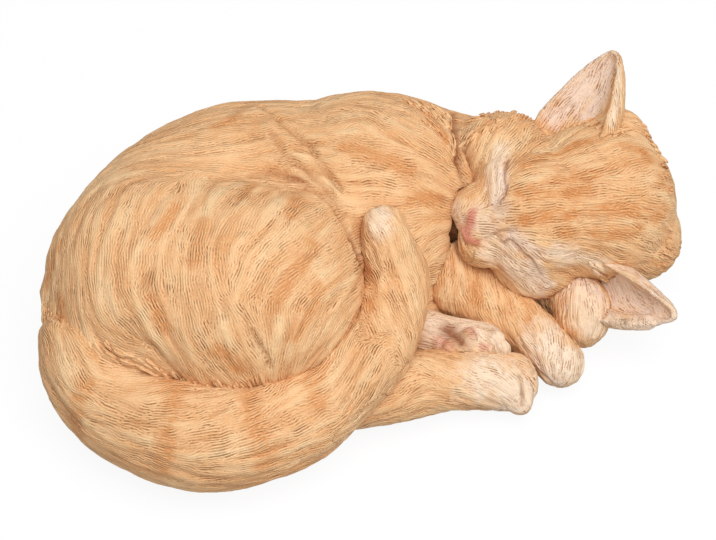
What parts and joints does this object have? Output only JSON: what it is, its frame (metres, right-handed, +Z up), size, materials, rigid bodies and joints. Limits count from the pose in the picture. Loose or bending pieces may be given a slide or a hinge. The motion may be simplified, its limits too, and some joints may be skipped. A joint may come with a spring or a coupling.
{
  "type": "sleeping cat figurine",
  "caption": "Curled sleeping ginger tabby kitten ornament in painted cast resin, with carved fur, that rests on a flat surface.",
  "frame": {"origin": "middle of the object's box in plan, on the plane that the felt pads rest on", "axes": "+X from the rump towards the head end, +Y towards the back of the spine, away from the paws, +Z up"},
  "size_m": [0.3204, 0.217, 0.1068],
  "materials": {
    "ginger_coat": "Ginger tabby coat painted on cast stone resin, with carved fur strands and darker brown in the grooves, matt with a faint sheen.",
    "ear_resin": "Ginger painted back and pale pinkish inside, with fine carved hairs, matt.",
    "pale_coat": "Ginger bands that fade to cream paws, painted on cast stone resin, matt.",
    "sole_resin": "Cream fur round pinkish paw pads, painted on cast stone resin, matt.",
    "cover_board": "Brown fibreboard cover, matt.",
    "felt": "Dark felt, matt."
  },
  "bodies": {
    "root": {"trunk": "ginger_coat", "head": "ginger_coat", "tail": "ginger_coat", "ear_left": "ear_resin", "ear_right": "ear_resin", "foreleg_right": "pale_coat", "forepaw_left": "pale_coat", "hind_foot_right": "pale_coat", "hind_foot_left": "sole_resin", "base_cover": "cover_board", "pad_front_left": "felt", "pad_front_right": "felt", "pad_back_left": "felt", "pad_back_right": "felt"}
  },
  "joints": []
}
